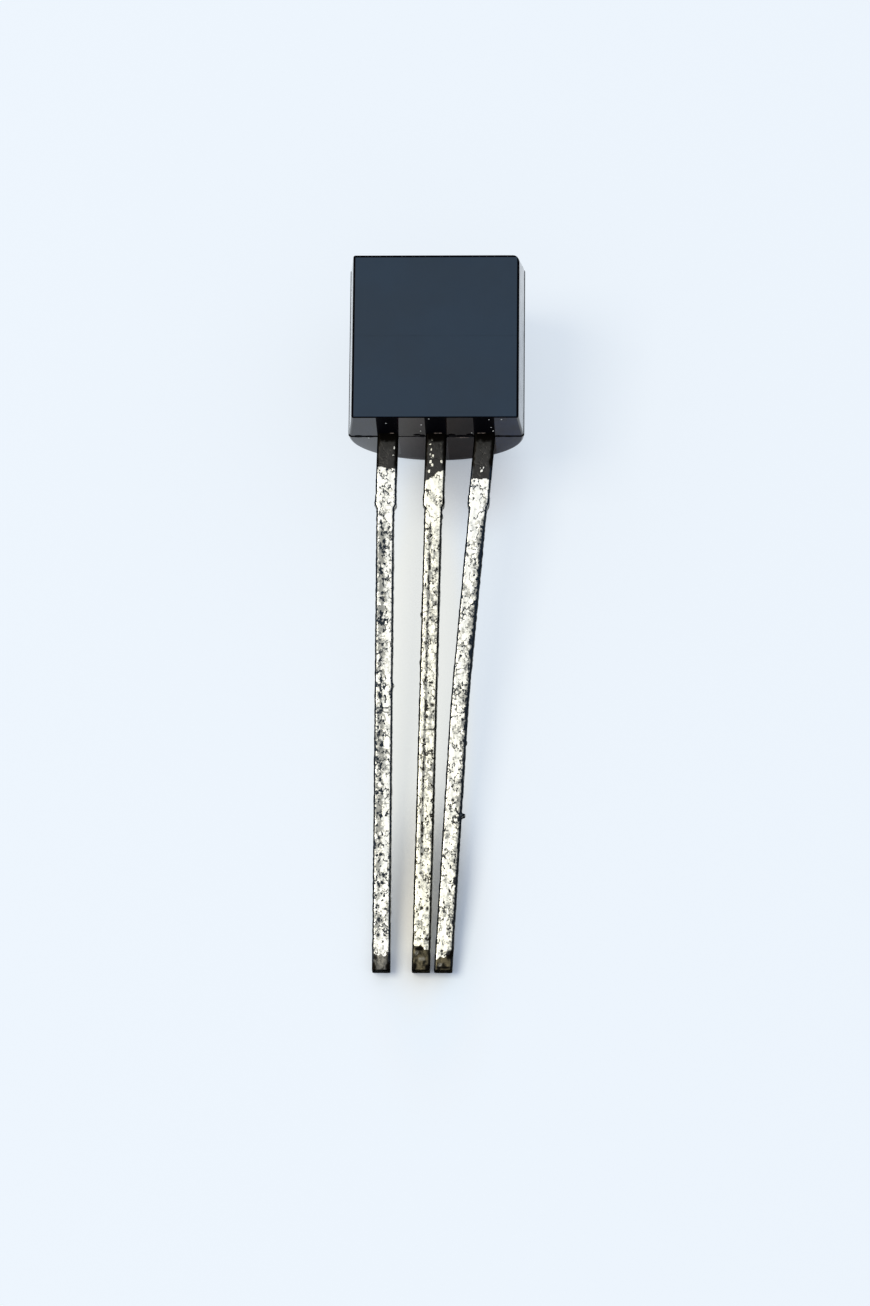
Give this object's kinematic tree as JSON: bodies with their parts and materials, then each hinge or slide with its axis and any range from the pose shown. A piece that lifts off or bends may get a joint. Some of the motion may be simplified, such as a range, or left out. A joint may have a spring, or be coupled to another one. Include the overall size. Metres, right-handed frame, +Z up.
{
  "type": "to-92 transistor",
  "caption": "Through-hole transistor: a small black epoxy body, flat in front and round at the back, on long solder-dipped flat leads, lying on its round back.",
  "frame": {"origin": "middle of the object's footprint, on the surface that it lies on", "axes": "+Z up out of the surface, +Y from the lead tips towards the body, +X to the right seen from above the flat face with the leads towards the viewer; the body is tilted about X by 8.2 degrees, because it rests on the lead end of its round back and on the lead tips"},
  "size_m": [0.0046, 0.0192, 0.0042],
  "materials": {
    "moulded_epoxy": "fine moulded grain, satin",
    "tinned_lead": "grainy solder dip over dull metal",
    "silicon": "polished",
    "bond_wire": "bright drawn wire"
  },
  "bodies": {
    "root": {"epoxy_body": "moulded_epoxy", "collector_lead": "tinned_lead", "base_lead": "tinned_lead", "emitter_lead": "tinned_lead", "silicon_die": "silicon", "base_bond_wire": "bond_wire", "emitter_bond_wire": "bond_wire"}
  },
  "joints": []
}
